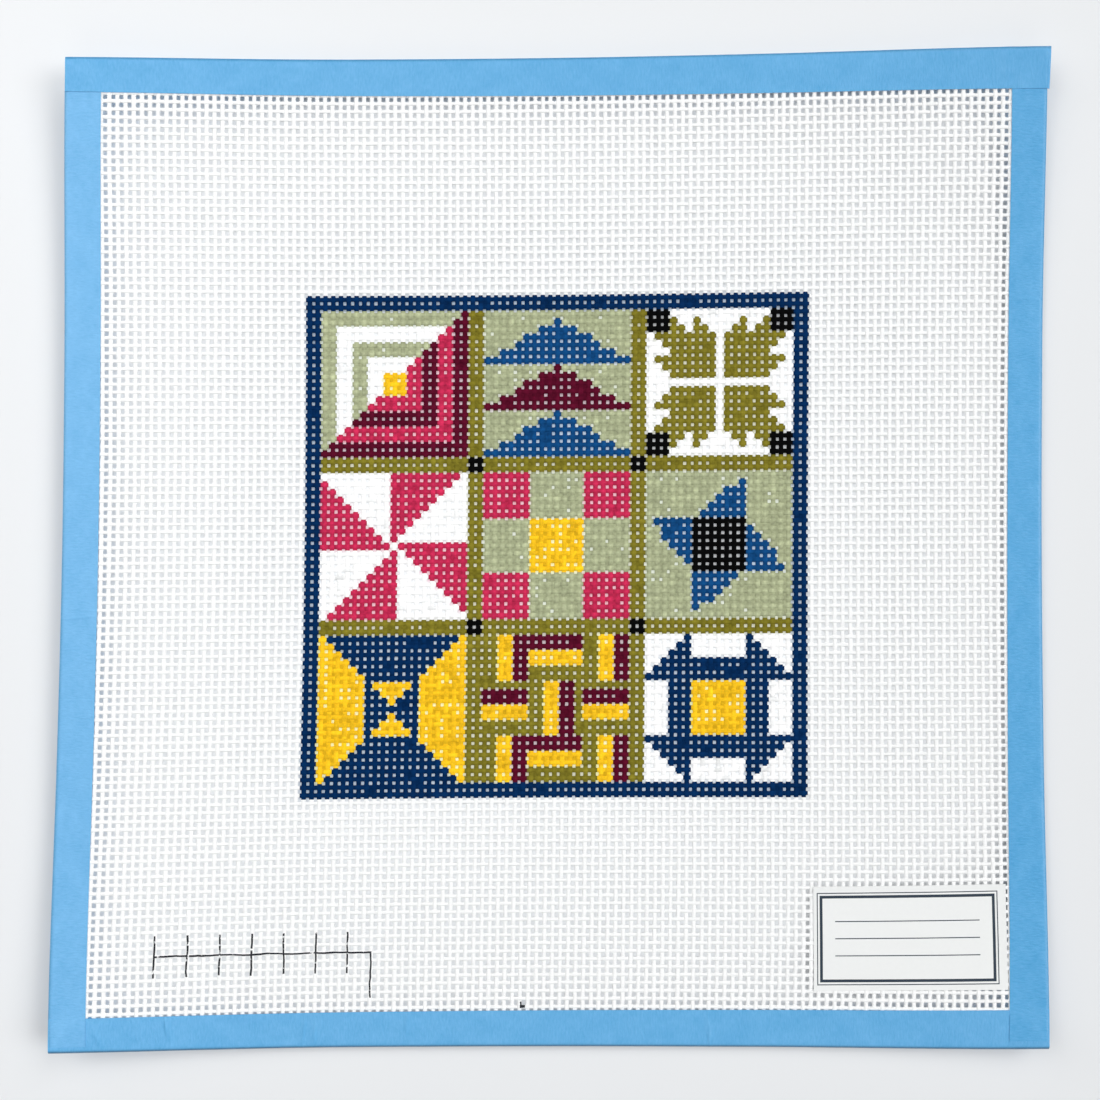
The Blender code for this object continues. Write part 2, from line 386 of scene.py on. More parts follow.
class Threads:
    """Centre lines, widths and paint of all the threads that run one way."""

    def __init__(self, upright, seed):
        rng = np.random.default_rng(seed)
        self.upright = upright
        count, cells = (2 * UPRIGHT + 1, 2 * CROSSWISE) if upright else (2 * CROSSWISE, 2 * UPRIGHT + 1)
        thread = np.arange(count)[:, None]
        self.ring = np.arange(2 * cells + 1)
        self.at_crossing = self.ring % 2 == 1
        self.over = (thread + self.ring // 2) % 2 == (0 if upright else 1)
        self.lay_lines(rng, thread)
        self.set_sizes(rng)
        self.set_paint(rng, thread, np.arange(cells))

    def lay_lines(self, rng, thread):
        """Centre lines, which wander a little and go over and under the other threads."""
        if self.upright:
            line = (thread - UPRIGHT) * PITCH
            start = -CROSSWISE * PITCH
            ends = cut_edge("bottom", line[:, 0]), cut_edge("top", line[:, 0])
        else:
            line = (thread - CROSSWISE + 0.5) * PITCH
            start = -(UPRIGHT + 0.5) * PITCH
            ends = cut_edge("left", line[:, 0]), cut_edge("right", line[:, 0])
        self.along = np.tile(start + self.ring * PITCH / 2, (len(thread), 1))
        self.along[:, 0], self.along[:, -1] = ends
        shape = self.over.shape
        lift = np.where(self.at_crossing, np.where(self.over, 1.0, -1.0), 0.0)
        self.level = MIDDLE + CRIMP * lift * (1 + UNEVEN_CRIMP * rng.normal(size=shape))
        self.place = line + WANDER * drift(rng, *shape, 9) + WOBBLE * rng.normal(size=shape)

    def set_sizes(self, rng):
        """Half width and half thickness, flatter at each crossing."""
        shape = self.over.shape
        widen = 1 + UNEVEN_WIDE * drift(rng, *shape, 14) + UNEVEN_RING * rng.normal(size=shape)
        widen = widen * np.where(self.at_crossing, np.where(self.over, OVER_WIDE, UNDER_WIDE), SPAN_WIDE)
        self.half_wide = (UPRIGHT_HALF_WIDE if self.upright else CROSSWISE_HALF_WIDE) * widen
        thick = np.where(self.at_crossing, CROSSING_HALF_THICK, SPAN_HALF_THICK)
        self.half_thick = thick * (1 + UNEVEN_THICK * drift(rng, *shape, 12))

    def set_paint(self, rng, thread, cell):
        """Paint on each crossing, which also makes the thread wider, and how uneven it is."""
        if self.upright:
            self.paint = painted(thread - UPRIGHT, cell - CROSSWISE)
        else:
            self.paint = painted(cell - UPRIGHT, thread - CROSSWISE)
        filled = np.concatenate([self.paint, self.paint[:, -1:]], 1)[:, self.ring // 2] != BARE
        span_fill = UPRIGHT_SPAN_FILL if self.upright else CROSSWISE_SPAN_FILL
        self.half_wide = self.half_wide + np.where(self.at_crossing, CROSSING_FILL, span_fill) * filled
        self.shade = 1 + UNEVEN_SHADE * rng.normal(size=self.paint.shape)
        self.soak = rng.uniform(-UNEVEN_SOAK, UNEVEN_SOAK, size=self.paint.shape)

    def tubes(self, threads, first, last):
        """Rings of the tubes for some threads, from one ring to another, as flat u, v and level."""
        aside, out = np.array(PROFILE).T
        part = (threads, slice(first, last + 1), None)
        wide = self.half_wide[part] * aside
        level = self.level[part] + self.half_thick[part] * out
        along = np.broadcast_to(self.along[part], wide.shape)
        if self.upright:
            return self.place[part] - wide, along, level
        return along, self.place[part] + wide, level


class Gathered:
    """Vertices and faces gathered for one mesh, with the map places and the paint of each face's corners."""

    MAPS = ("OFBake", "flat", "twist", "paint")

    def __init__(self):
        self.points = []
        self.faces = []
        self.corners = {name: [] for name in self.MAPS}
        self.count = 0

    def add_points(self, points):
        """Add vertices and return the number of the first."""
        first = self.count
        self.points.append(points.reshape(-1, 3))
        self.count += len(self.points[-1])
        return first

    def add_faces(self, faces, **corners):
        """Add faces of one kind, an array with a row of vertex numbers for each."""
        self.faces += faces.reshape(-1, faces.shape[-1]).tolist()
        for name in self.MAPS:
            values = np.broadcast_to(corners[name], faces.shape + corners[name].shape[-1:])
            self.corners[name].append(values.reshape(-1, values.shape[-1]))

    def mesh(self, name, smooth_faces):
        """Mesh with smooth faces first, and sharp edges round all the later ones."""
        made = bpy.data.meshes.new(name)
        made.from_pydata(np.concatenate(self.points), [], self.faces)
        for title in self.MAPS[:-1]:
            values = np.concatenate(self.corners[title]).astype(np.float32)
            made.uv_layers.new(name=title).uv.foreach_set("vector", values.ravel())
        values = np.concatenate(self.corners["paint"]).astype(np.float32)
        made.color_attributes.new("paint", "FLOAT_COLOR", "CORNER").data.foreach_set("color", values.ravel())
        made.shade_smooth()
        edges = np.zeros(len(made.loops), np.int32)
        made.loops.foreach_get("edge_index", edges)
        sharp = np.zeros(len(made.edges), bool)
        sharp[edges[4 * smooth_faces:]] = True
        made.edges.foreach_set("use_edge_sharp", sharp)
        made.update()
        return made


# The bake map of a band: a strip for each thread at the bottom, and a small patch for each cap and
# each face of a paint film at the top
STRIP_SHARE = 0.9
STRIP_INSET = 0.06
STRIP_END_INSET = 0.3
PATCH_COLUMNS = 128
PATCH_ROWS = 44
PATCH_REACH = 0.4


def patches(first, count, corners):
    """Small separate places in the bake map for faces with that many corners."""
    number = first + np.arange(count)
    turn = (np.arange(corners) + 0.5) * 2 * math.pi / corners
    x = (number[:, None] % PATCH_COLUMNS + 0.5 + PATCH_REACH * np.cos(turn)) / PATCH_COLUMNS
    y = (number[:, None] // PATCH_COLUMNS + 0.5 + PATCH_REACH * np.sin(turn)) / PATCH_ROWS
    return np.stack([x, STRIP_SHARE + (1 - STRIP_SHARE) * y], -1)


def paint_on(threads, row, cell, between, corner):
    """Colour and cover of the paint on tube corners: darkened between crossings as painted shade, and thin
    below.
    """
    paint = threads.paint[row, cell]
    soaked = np.where(corner < LOWER_CORNERS, 1, UPPER_SOAK) * threads.soak[row, cell]
    cover = np.clip(np.array(COVER)[corner] + soaked, 0, 1) * (paint != BARE)
    # Painted shade: paint between crossings is darker, but not white or yellow paint
    dark = between & (paint != BARE) & (paint != WHITE) & (paint != YELLOW)
    tone = threads.shade[row, cell] * np.where(dark, SPAN_SHADE_TONE, 1)
    return np.concatenate([PAINT_LIGHT[paint] * tone[..., None], cover[..., None]], -1)


def add_tubes(band, threads, chosen, first, last, first_strip, longest, strips):
    """Side faces of the tubes for some threads, from one ring to another. longest is the number of
    rings that a strip of the bake map takes, and strips is how many strips the map has. Returns the
    vertex numbers of the end caps and how many strips were used."""
    u, v, level = threads.tubes(chosen, first, last)
    count, rings = u.shape[:2]
    start = band.add_points(placed(u, v, level))
    thread, ring, side = np.meshgrid(np.arange(count), np.arange(rings - 1), np.arange(SIDES), indexing="ij")
    rings_at = np.stack([ring, ring, ring + 1, ring + 1], -1)
    sides_at = np.stack([side, side + 1, side + 1, side], -1)
    corner = sides_at % SIDES
    local = (thread[..., None] * rings + rings_at) * SIDES + corner
    spans = rings - 1
    each = longest // spans
    column, strip = thread[..., None] % each, first_strip + thread[..., None] // each
    x = (column * spans + STRIP_END_INSET + rings_at * (1 - 2 * STRIP_END_INSET / spans)) / (each * spans)
    y = STRIP_SHARE * (strip + STRIP_INSET + (1 - 2 * STRIP_INSET) * sides_at / SIDES) / strips
    row = np.broadcast_to(np.arange(threads.paint.shape[0])[chosen][thread][..., None], local.shape)
    cell = np.broadcast_to((first + rings_at[..., :1]) // 2, local.shape)
    band.add_faces(
        start + local,
        OFBake=np.stack([x, y], -1),
        flat=np.stack([u.reshape(-1)[local], v.reshape(-1)[local]], -1) / PITCH,
        twist=np.stack([rings_at / 2, sides_at / SIDES], -1),
        paint=paint_on(threads, row, cell, rings_at % 2 == 0, corner),
    )
    end = start + np.arange(count)[:, None] * rings * SIDES + np.arange(SIDES)
    return np.concatenate([end[:, ::-1], end + (rings - 1) * SIDES]), -(-count // each)


# Films of paint: how often each paint closes an opening, and the films' size
FILM_CHANCE = {
    NAVY: 0.05,
    BLUE: 0.1,
    YELLOW: 0.55,
    SAGE: 0.9,
    OLIVE: 0.12,
    ROSE: 0.1,
    PLUM: 0.1,
    WHITE: 0.25,
}
FILM_HALF_THICK = 0.00003
FILM_LEVEL = MIDDLE + 0.00004
FILM_OVERLAP = 0.0001
FILM_SEED = 20
BOX_CORNERS = tuple((x, y, z) for z in (-1, 1) for x, y in ((-1, -1), (1, -1), (1, 1), (-1, 1)))
BOX_FACES = ((4, 5, 6, 7), (3, 2, 1, 0), (0, 1, 5, 4), (1, 2, 6, 5), (2, 3, 7, 6), (3, 0, 4, 7))


def film_places(rows):
    """Openings of some rows that the paint has closed: columns, rows and paints."""
    column, row = np.meshgrid(np.arange(-SQUARE_REACH, SQUARE_REACH), rows, indexing="ij")
    colour = painted(column, row)
    same = np.ones(colour.shape, bool)
    for across, up in ((1, 0), (0, 1), (1, 1)):
        same &= painted(column + across, row + up) == colour
    chance = np.zeros(len(PAINTS))
    for paint, share in FILM_CHANCE.items():
        chance[paint] = share
    rng = np.random.default_rng(FILM_SEED + int(rows[0]) % 97)
    closed = same & (rng.uniform(size=colour.shape) < chance[colour])
    return column[closed], row[closed], colour[closed]


def add_films(band, rows, caps):
    """Thin films of paint across some openings, each a flat closed box, darkened with painted shade."""
    column, row, colour = film_places(rows)
    corner = np.array(BOX_CORNERS)
    half = PITCH / 2 - np.array([UPRIGHT_HALF_WIDE, CROSSWISE_HALF_WIDE]) + FILM_OVERLAP
    u = (column[:, None] + 0.5) * PITCH + half[0] * corner[:, 0]
    v = (row[:, None] + 1) * PITCH + half[1] * corner[:, 1]
    start = band.add_points(placed(u, v, FILM_LEVEL + FILM_HALF_THICK * corner[:, 2] + 0 * u))
    local = np.arange(len(column))[:, None, None] * len(corner) + np.array(BOX_FACES)
    # Painted shade: films in the openings are darker than their paint, white ones only a little
    share = np.where(colour == WHITE, WHITE_FILM_SHADE_TONE, FILM_SHADE_TONE)[:, None]
    tone = (share * PAINT_LIGHT[colour])[:, None, None, :] * np.ones(local.shape + (1,))
    band.add_faces(
        start + local,
        OFBake=patches(caps, local.size // 4, 4).reshape(local.shape + (2,)),
        flat=np.stack([u.reshape(-1)[local], v.reshape(-1)[local]], -1) / PITCH,
        twist=np.zeros(2),
        paint=np.concatenate([tone, np.ones(local.shape + (1,))], -1),
    )


def weave_band(number, upright, crosswise, surface):
    """A band of the canvas with all the threads in it. Its upright threads go on in the next band."""
    rows = 2 * CROSSWISE // BANDS
    first_row = number * rows
    longest = 2 * (2 * UPRIGHT + 1)
    band = Gathered()
    layout = {"longest": longest, "strips": 2 * rows}
    part = slice(first_row, first_row + rows)
    caps_up, used = add_tubes(band, upright, slice(None), 2 * first_row, 2 * (first_row + rows), 0, **layout)
    caps_across, _ = add_tubes(band, crosswise, part, 0, longest, used, **layout)
    smooth_faces = len(band.faces)
    caps = np.concatenate([caps_up, caps_across])
    band.add_faces(
        caps,
        OFBake=patches(0, len(caps), SIDES),
        flat=np.zeros(2),
        twist=np.zeros(2),
        paint=np.array(BARE_CAP),
    )
    add_films(band, np.arange(first_row, first_row + rows) - CROSSWISE, len(caps))
    name = f"canvas_band_{number + 1}"
    mesh = band.mesh(name, smooth_faces)
    mesh.materials.append(surface)
    return linked(name, mesh)


def linked(name, data):
    made = bpy.data.objects.new(name, data)
    bpy.context.scene.collection.objects.link(made)
    return made


# Materials


def add(tree, kind, inputs=None, **settings):
    """A shader node with its settings. Each input is linked to a socket or set to a value."""
    made = tree.nodes.new(kind)
    for name, value in settings.items():
        setattr(made, name, value)
    for key, value in (inputs or {}).items():
        if isinstance(value, bpy.types.NodeSocket):
            tree.links.new(value, made.inputs[key])
        else:
            made.inputs[key].default_value = value
    return made


def maths(tree, operation, a, b=0.0):
    return add(tree, "ShaderNodeMath", {0: a, 1: b}, operation=operation).outputs[0]


def product(tree, *values):
    made = values[0]
    for value in values[1:]:
        made = maths(tree, "MULTIPLY", made, value)
    return made


def highest(tree, *values):
    made = values[0]
    for value in values[1:]:
        made = maths(tree, "MAXIMUM", made, value)
    return made


def weighed(tree, a, share_a, b, share_b):
    """Sum of two values, each times its share."""
    return maths(tree, "ADD", maths(tree, "MULTIPLY", a, share_a), maths(tree, "MULTIPLY", b, share_b))


def inside(tree, value, low, high):
    """1 where the value is between low and high."""
    return product(tree, maths(tree, "GREATER_THAN", value, low), maths(tree, "LESS_THAN", value, high))


def near(tree, value, middle, reach):
    """1 where the value is less than a reach from the middle."""
    return inside(tree, value, middle - reach, middle + reach)


def span(tree, value, low, high, to_low=0.0, to_high=1.0):
    """A value from low to high stretched to another range and kept inside it."""
    inputs = {"Value": value, "From Min": low, "From Max": high, "To Min": to_low, "To Max": to_high}
    return add(tree, "ShaderNodeMapRange", inputs).outputs["Result"]


def mixed(tree, factor, a, b, how="MIX"):
    inputs = {0: factor, 6: a, 7: b}
    made = add(tree, "ShaderNodeMix", inputs, data_type="RGBA", blend_type=how, clamp_result=True)
    return made.outputs[2]


def noise(tree, place, scale, detail=2.0, rough=0.5):
    inputs = {"Vector": place, "Scale": scale, "Detail": detail, "Roughness": rough}
    return add(tree, "ShaderNodeTexNoise", inputs).outputs["Fac"]


def stretched(tree, place, scale):
    return add(tree, "ShaderNodeMapping", {"Vector": place, "Scale": scale}).outputs[0]


def uv_map(tree, name):
    return add(tree, "ShaderNodeUVMap", uv_map=name).outputs[0]


def split(tree, vector):
    """The parts of a vector."""
    return add(tree, "ShaderNodeSeparateXYZ", {0: vector}).outputs


def facing_up(tree):
    """1 where the surface faces straight up, 0 on its sides and less below."""
    return split(tree, add(tree, "ShaderNodeNewGeometry").outputs["Normal"])[2]


def surface_named(name):
    made = bpy.data.materials.new(name)
    made.use_nodes = True
    tree = made.node_tree
    return made, tree, tree.nodes["Principled BSDF"]


def bumped(tree, shader, height, distance, strength):
    bump = add(tree, "ShaderNodeBump", {"Height": height, "Distance": distance, "Strength": strength})
    tree.links.new(bump.outputs[0], shader.inputs["Normal"])


# Pen marks along the threads, counted from the middle: a count line with upright ticks
PEN_HALF = 0.115
PEN_ROW = -51.5
PEN_LEFT = -50
PEN_RIGHT = -23
TICK_STEP = 4
TICK_HIGH = 2.6
LONG_TICK_LOW = -57.2
EDGE_DOT = (-3.6, -58.2)
DOT_REACH = (0.3, 0.4)


def pen_marks(tree):
    """1 where the pen went: a line along one thread, ticks along others, and a small dot."""
    place = uv_map(tree, "flat")
    wobble = maths(tree, "MULTIPLY", maths(tree, "SUBTRACT", noise(tree, place, 0.35), 0.5), 0.5)
    across, up, _ = split(tree, place)
    u = maths(tree, "ADD", across, wobble)
    v = maths(tree, "ADD", up, wobble)
    along = inside(tree, u, PEN_LEFT - PEN_HALF, PEN_RIGHT + PEN_HALF)
    line = product(tree, near(tree, v, PEN_ROW, PEN_HALF), along)
    from_tick = maths(tree, "SUBTRACT", u, PEN_LEFT - TICK_STEP / 2)
    off_tick = maths(tree, "SUBTRACT", maths(tree, "MODULO", from_tick, TICK_STEP), TICK_STEP / 2)
    high = near(tree, v, PEN_ROW, TICK_HIGH)
    ticks = product(tree, near(tree, off_tick, 0, PEN_HALF), high, along)
    long_tick = product(tree, near(tree, u, PEN_RIGHT, PEN_HALF), inside(tree, v, LONG_TICK_LOW, PEN_ROW))
    dot = product(tree, *(near(tree, *args) for args in zip((u, v), EDGE_DOT, DOT_REACH)))
    ink = highest(tree, line, ticks, long_tick, dot)
    worn = span(tree, noise(tree, place, 1.3), 0.33, 0.4)
    return product(tree, ink, worn, span(tree, facing_up(tree), 0.1, 0.4))


# Thread: cotton's two tones, how thin and thick the paint gets, and the light that passes, which falls from
# the left side of the canvas to the right
COTTON = ((0.93, 0.94, 0.94, 1), (0.96, 0.97, 0.97, 1))
PEN_INK = (0.02, 0.022, 0.028, 1)
THIN_DARK_PAINT = 0.72
THIN_PALE_PAINT = 0.97
THICK_PAINT = 1.18
PLIES = 2.0
PLY_TURNS = 3.0
LETS_THROUGH = (0.81, 0.68)
PAINT_LETS_THROUGH = 1.2
PAINT_THINNESS = 0.4


def painted_cotton(tree, paint, place, fine):
    """How far the paint covers the thread, and the colour of both."""
    unsure = maths(tree, "MULTIPLY", maths(tree, "SUBTRACT", fine, 0.5), 0.9)
    cover = span(tree, maths(tree, "ADD", paint.outputs["Alpha"], unsure), 0.42, 0.58)
    cloudy = noise(tree, place, 0.55, 3.0, 0.6)
    density = maths(tree, "ADD", span(tree, cloudy, 0.3, 0.7, 0.0, 0.5), span(tree, fine, 0.3, 0.7, 0.0, 0.5))
    pale = add(tree, "ShaderNodeRGBToBW", {0: paint.outputs["Color"]}).outputs[0]
    thinnest = span(tree, pale, 0.6, 0.9, THIN_DARK_PAINT, THIN_PALE_PAINT)
    strength = span(tree, density, 0.0, 1.0, thinnest, THICK_PAINT)
    pigment = mixed(tree, 1.0, paint.outputs["Color"], strength, "MULTIPLY")
    return cover, mixed(tree, cover, mixed(tree, fine, *COTTON), pigment)


def thread_surface(name, with_pen):
    """Sized cotton thread, with the paint of each crossing and uneven pigment."""
    made, tree, shader = surface_named(name)
    paint = add(tree, "ShaderNodeAttribute", attribute_name="paint")
    place = uv_map(tree, "flat")
    fine = noise(tree, place, 3.4, 2.0, 0.6)
    cover, colour = painted_cotton(tree, paint, place, fine)
    if with_pen:
        colour = mixed(tree, pen_marks(tree), colour, PEN_INK)
    tree.links.new(colour, shader.inputs["Base Color"])
    tree.links.new(span(tree, cover, 0, 1, 0.8, 0.6), shader.inputs["Roughness"])
    tree.links.new(span(tree, cover, 0, 1, 0.25, 0.02), shader.inputs["Specular IOR Level"])
    along, around, _ = split(tree, uv_map(tree, "twist"))
    turns = weighed(tree, along, PLY_TURNS, around, PLIES)
    plies = maths(tree, "SINE", maths(tree, "MULTIPLY", turns, 2 * math.pi))
    bumped(tree, shader, weighed(tree, plies, 0.35, fine, 0.9), 0.00005, 0.5)
    thin = add(tree, "ShaderNodeGamma", {"Color": paint.outputs["Color"], "Gamma": PAINT_THINNESS}).outputs[0]
    stained = mixed(tree, 1.0, thin, (PAINT_LETS_THROUGH,) * 3 + (1,), "MULTIPLY")
    bare = span(tree, split(tree, place)[0], -UPRIGHT, UPRIGHT, *LETS_THROUGH)
    let_light_through(tree, shader, mixed(tree, cover, bare, stained))
    return made


def let_light_through(tree, shader, tint):
    """Thin cotton: part of the light passes the threads, so that their shadows are pale and tinted."""
    clear = add(tree, "ShaderNodeBsdfTransparent", {"Color": tint})
    shadow = add(tree, "ShaderNodeLightPath").outputs["Is Shadow Ray"]
    both = add(tree, "ShaderNodeMixShader", {0: shadow, 1: shader.outputs[0], 2: clear.outputs[0]})
    tree.links.new(both.outputs[0], tree.nodes["Material Output"].inputs["Surface"])


# Tape: two tones of its blue, the wrinkles' scales, how far from the fold's middle its painted shade ends,
# and for each strip a painted sheen added to or taken off its tones (pale) and how dark the painted shade on
# its fold is
TAPE_BLUES = ((0.075, 0.35, 0.66), (0.145, 0.45, 0.78))
CREPE_SCALE = (2100, 700, 1)
MOTTLE_SCALE = (160, 260, 1)
GRAIN_SCALE = 5200.0
FOLD_SHADE = (0.0013, 0.0021)
TAPE_PAINTED_LIGHT = {
    "tape_left": {"pale": 0.038, "fold": 0.9},
    "tape_top": {"pale": -0.004, "fold": 0.75},
    "tape_right": {"pale": -0.012, "fold": 0.9},
    "tape_bottom": {"pale": 0.012, "fold": 0.5},
}


def tape_surface(name, pale, fold):
    """Matt crepe paper tape, with wrinkles across the strip, a painted sheen and painted shade along its
    fold.
    """
    made, tree, shader = surface_named(name)
    place = uv_map(tree, "tape")
    crepe = noise(tree, stretched(tree, place, CREPE_SCALE), 1.0, 3.0, 0.65)
    grain = noise(tree, place, GRAIN_SCALE, 2.0, 0.6)
    mottle = noise(tree, stretched(tree, place, MOTTLE_SCALE), 1.0, 3.0, 0.55)
    tone = weighed(tree, crepe, 0.6, mottle, 0.4)
    # Painted sheen: each strip's tones are made paler or darker by its pale value
    low, high = ([part + pale for part in colour] + [1] for colour in TAPE_BLUES)
    colour = mixed(tree, span(tree, tone, 0.3, 0.7), low, high)
    # Painted shade: the outer part of the fold is darkened by the strip's fold tone
    from_fold = maths(tree, "ABSOLUTE", maths(tree, "SUBTRACT", split(tree, place)[1], TAPE_SPREAD / 2))
    colour = mixed(tree, 1.0, colour, span(tree, from_fold, *FOLD_SHADE, fold, 1.0), "MULTIPLY")
    tree.links.new(colour, shader.inputs["Base Color"])
    tree.links.new(span(tree, grain, 0.3, 0.7, 0.27, 0.35), shader.inputs["Roughness"])
    shader.inputs["Specular IOR Level"].default_value = 0.4
    bumped(tree, shader, weighed(tree, crepe, 1.0, grain, 0.25), 0.0001, 0.8)
    return made


# Print on the sticker: a double frame, by distance from the edge and width, and ruled lines to write on,
# measured from its middle
STICKER_PAPER = ((0.83, 0.845, 0.84, 1), (0.865, 0.88, 0.875, 1))
STICKER_INK = (0.012, 0.028, 0.05, 1)
PRINT_ASIDE = (-0.0006, -0.0001)
FRAME_LINES = ((0.00145, 0.00024), (0.00215, 0.0007))
RULE_LINE = 0.00025
RULES = (0.0040, -0.0002, -0.0044)
RULE_REACH = 0.0178


def sticker_surface():
    """Smooth white paper with a plain printed frame and ruled lines."""
    made, tree, shader = surface_named("sticker_print")
    place = uv_map(tree, "sticker")
    x, y, _ = split(tree, place)
    across = maths(tree, "ABSOLUTE", maths(tree, "SUBTRACT", x, PRINT_ASIDE[0]))
    up = maths(tree, "ABSOLUTE", maths(tree, "SUBTRACT", y, PRINT_ASIDE[1]))
    from_side = maths(tree, "SUBTRACT", STICKER_WIDTH / 2, across)
    from_end = maths(tree, "SUBTRACT", STICKER_HEIGHT / 2, up)
    edge = maths(tree, "MINIMUM", from_side, from_end)
    short = maths(tree, "LESS_THAN", across, RULE_REACH)
    lines = [inside(tree, edge, start, start + width) for start, width in FRAME_LINES]
    lines += [product(tree, inside(tree, y, low, low + RULE_LINE), short) for low in RULES]
    ink = product(tree, highest(tree, *lines), maths(tree, "GREATER_THAN", facing_up(tree), 0.5))
    fibre = noise(tree, stretched(tree, place, (900, 900, 1)), 1.0, 4.0, 0.6)
    colour = mixed(tree, ink, mixed(tree, fibre, *STICKER_PAPER), STICKER_INK)
    tree.links.new(colour, shader.inputs["Base Color"])
    tree.links.new(span(tree, fibre, 0.3, 0.7, 0.42, 0.52), shader.inputs["Roughness"])
    bumped(tree, shader, fibre, 0.00003, 0.3)
    return made


FLOOR_TONES = ((0.79, 0.805, 0.82, 1), (0.805, 0.82, 0.835, 1))


def floor_surface():
    """Plain pale table top."""
    made, tree, shader = surface_named("floor_paint")
    place = add(tree, "ShaderNodeTexCoord").outputs["Object"]
    cloudy = noise(tree, place, 3.0)
    tree.links.new(mixed(tree, cloudy, *FLOOR_TONES), shader.inputs["Base Color"])
    shader.inputs["Roughness"].default_value = 0.7
    shader.inputs["Specular IOR Level"].default_value = 0.2
    return made


# Folded tape

FLAP_STEPS = 11
ARC_STEPS = 8
ALONG_STEP = 0.0011
LEAST_STEP = 0.00008
STEPS_IN_REACH = 4
STEPS_BESIDE = 6
POCKET = SHEET_HALF + TAPE_CLEAR
FLAP_EXTRA = 0.00015
BACK_WANDER = 0.0002
EDGE_WAVE = 0.000015
EDGE_WAVE_REACH = 0.0012
FOLD_REACH = 0.0011
BOTTOM_DROOP = 0.0004
DROOP_REACH = 0.0009
END_GAP = 0.0001
LAP_RAMP = 0.0015
TOP_RIGHT_RAMP = 0.003

# The top strip's free end: pressed flat, and cut a little aslant
PINCHED = 0.00002
PINCH_START = 0.1217
PINCH_REACH = 0.0005
PINCH_END_GAP = 0.0002
TAB_SLANT = 0.0003
SLANT_REACH = 0.0015


def fold_profile(front, back, half, inner, droop):
    """Depth and level of a folded strip's surface, from the front flap's edge round to the back's.
    inner is how far this surface stays inside the fold, and droop how far the fold hangs."""
    down = np.linspace(0, 1, FLAP_STEPS + 1)
    angle = math.pi / 2 + math.pi * np.arange(1, ARC_STEPS) / ARC_STEPS
    around = FOLD_REACH + (FOLD_REACH - inner) * np.cos(angle)
    depth = np.concatenate(
        [
            front[:, None] + (FOLD_REACH - front)[:, None] * down,
            np.tile(around, (len(front), 1)),
            FOLD_REACH + (back - FOLD_REACH)[:, None] * down,
        ],
        1,
    )
    share = np.concatenate([np.ones(len(down)), np.sin(angle), -np.ones(len(down))])
    return depth, MIDDLE + half[:, None] * share - droop * np.maximum(0, 1 - depth / DROOP_REACH) ** 2


def stations(low, high, finer):
    """Places along a strip, closer together round the creases and laps."""
    count = round((high - low) / ALONG_STEP)
    places = [low + (high - low) * k / count for k in range(count + 1)]
    beside = range(-STEPS_BESIDE, STEPS_BESIDE + 1)
    for middle, reach in finer:
        places += [middle + reach * k / STEPS_IN_REACH for k in beside]
    places = sorted(place for place in places if low <= place <= high)
    kept = [places[0]]
    for place in places[1:-1]:
        if place - kept[-1] > LEAST_STEP and high - place > LEAST_STEP:
            kept.append(place)
    return np.array(kept + [high])


def crease_height(along, depth, creases):
    """Height of low ridges across a strip. Each crease has its place along the strip, reach, height,
    lean, depth from the fold and reach in depth."""
    return sum(
        tall
        * np.exp(-(((along[:, None] - at - lean * (depth - middle)) / reach) ** 2))
        * np.exp(-(((depth - middle) / deep) ** 2))
        for at, reach, tall, lean, middle, deep in creases
    )


def folded_tape(name, side, ends, lift, creases, seed, surface, slant=0.0, pinch_from=None, droop=0.0):
    """Thin closed strip, folded over the sheet's edge. lift raises it where it lies over another, slant
    cuts its far end aslant, and from pinch_from on it is pressed flat."""
    low, high = ends
    finer = [(at, reach) for at, reach, *_ in creases]
    if pinch_from is not None:
        finer.append(((pinch_from + high) / 2, PINCH_REACH))
    along = stations(low, high, finer)
    count = len(along)
    rng = np.random.default_rng(seed)
    half = POCKET + lift(along)
    if pinch_from is not None:
        half = half - (half - PINCHED) * smooth_step(along, pinch_from, high - PINCH_END_GAP)
    front = np.abs(tape_line(side, "inner", along) - tape_line(side, "outer", along)) + FLAP_EXTRA
    back = BACK_FLAP + BACK_WANDER * drift(rng, 1, count, 30)[0]
    wave = np.maximum(EDGE_WAVE * drift(rng, 1, count, 9)[0], 0)
    sides = []
    for grow in (TAPE_THICK, 0.0):
        depth, level = fold_profile(front, back, half + grow, TAPE_THICK - grow, droop)
        facing = np.where(np.arange(depth.shape[1]) <= FLAP_STEPS + ARC_STEPS // 2, 1, -1)
        near_edge = np.exp(-(((depth - front[:, None]) / EDGE_WAVE_REACH) ** 2))
        level = level + facing * (crease_height(along, depth, creases) + wave[:, None] * near_edge)
        places = np.broadcast_to(along[:, None], depth.shape)
        places = places - slant * depth / BACK_FLAP * smooth_step(places, high - SLANT_REACH, high)
        across = tape_line(side, "outer", along)[:, None] + INWARD[side] * depth
        uv = (places, across) if side in ("top", "bottom") else (across, places)
        sides.append(placed(*uv, level))
    spread = np.linspace(0, TAPE_SPREAD, sides[0].shape[1])
    metres = np.stack(np.meshgrid(along, spread, indexing="ij"), -1)
    return thin_sheet(name, *sides, "tape", metres, surface)


# The bake map of a thin sheet: its two sides, then its four rims as narrow strips
UPPER_SIDE = (0.01, 0.58)
LOWER_SIDE = (0.61, 0.31)
FIRST_RIM = 0.94
RIM_STEP = 0.015
RIM_WIDE = 0.008
MAP_ENDS = (0.01, 0.99)


